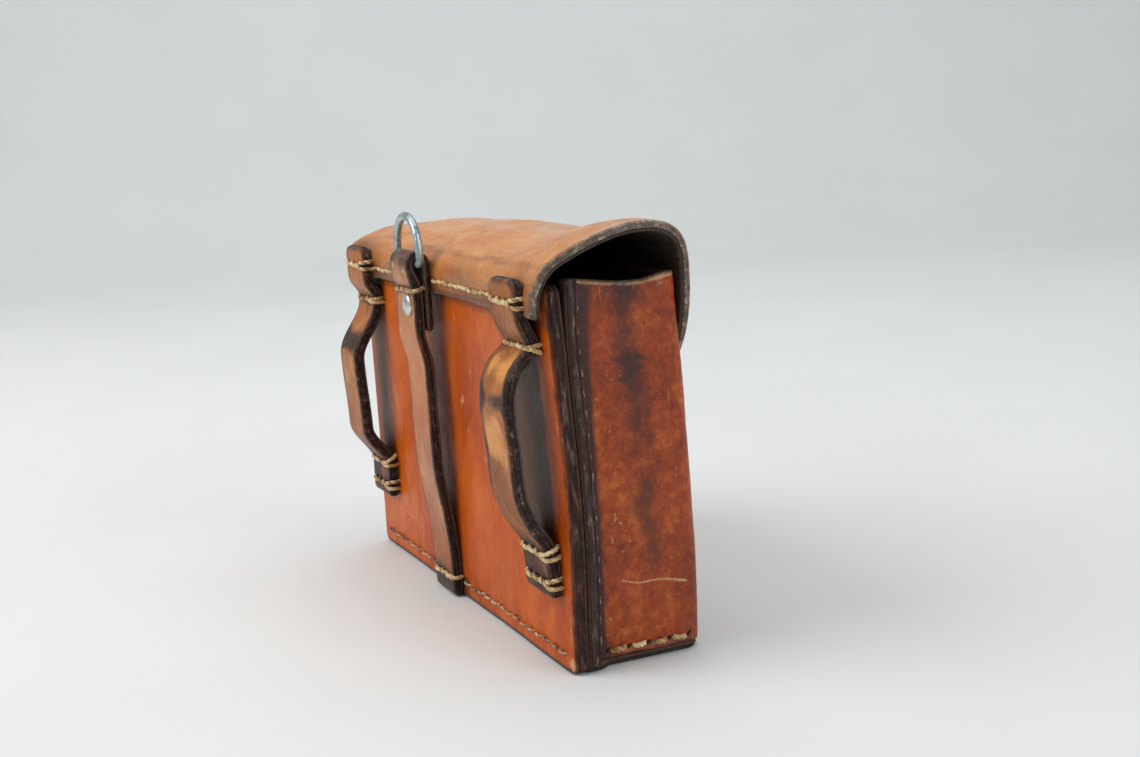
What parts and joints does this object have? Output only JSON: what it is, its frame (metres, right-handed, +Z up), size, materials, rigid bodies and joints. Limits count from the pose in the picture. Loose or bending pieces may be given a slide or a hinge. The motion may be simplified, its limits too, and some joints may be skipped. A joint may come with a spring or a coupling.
{
  "type": "leather belt pouch",
  "caption": "Stitched leather belt pouch: boxy case with a domed hinged flap, closing tab on a turn stud, belt loops and a steel D-ring on a hanging strap.",
  "frame": {"origin": "centre of the case's length on the underside of the sole, on the case's centre plane", "axes": "+X along the case from its near end to its far end, +Y towards the back with the belt loops, +Z up"},
  "size_m": [0.1592, 0.056, 0.115],
  "materials": {
    "leather_back": "worn orange-tan harness leather, satin",
    "leather_wrap": "red-brown harness leather, dark mottling, satin",
    "leather_flap": "pale tan harness leather, greyish sheen on top",
    "leather_loop": "brown strap leather with dark burnished edges",
    "leather_edge": "near-black burnished leather edge",
    "linen_thread": "waxed cream linen thread",
    "steel": "dull blue-grey steel",
    "brass": "tarnished brass"
  },
  "bodies": {
    "case": {"back_panel": "leather_back", "body_wrap": "leather_wrap", "bottom_panel": "leather_edge", "flap_seam_strip": "leather_flap", "near_belt_loop": "leather_loop", "far_belt_loop": "leather_loop", "centre_strap": "leather_loop", "strap_rivet": "steel", "rivet_burr": "steel", "stud_plate": "brass", "stud_plate_pins": "brass", "near_seam_thread": "linen_thread", "far_seam_thread": "linen_thread", "back_bottom_thread": "linen_thread", "end_bottom_thread": "linen_thread", "front_bottom_thread": "linen_thread", "flap_seam_thread": "linen_thread", "near_loop_thread": "linen_thread", "far_loop_thread": "linen_thread", "strap_thread": "linen_thread"},
    "flap": {"flap_shell": "leather_flap", "tab_root": "leather_loop", "tab_thread": "linen_thread"},
    "closure_tab": {"closure_tab": "leather_loop"},
    "d_ring": {"d_ring": "steel"},
    "turn_stud": {"turn_stud": "brass", "stud_burr": "brass"}
  },
  "joints": [
    {"name": "flap_hinge", "type": "hinge", "parent": "case", "child": "flap", "pos_m": [0, 0.011, 0.1046], "axis": [-1, 0, 0], "range_deg": [0, 110]},
    {"name": "tab_lift", "type": "hinge", "parent": "flap", "child": "closure_tab", "pos_m": [0, -0.0254, 0.064], "axis": [-1, 0, 0], "range_deg": [0, 70]},
    {"name": "ring_swing", "type": "hinge", "parent": "case", "child": "d_ring", "pos_m": [0.0105, 0.0235, 0.1005], "axis": [-1, 0, 0], "range_deg": [0, 150]},
    {"name": "stud_turn", "type": "hinge", "parent": "case", "child": "turn_stud", "pos_m": [0, -0.0244, 0.037], "axis": [0, -1, 0], "range_deg": [0, 90]}
  ]
}
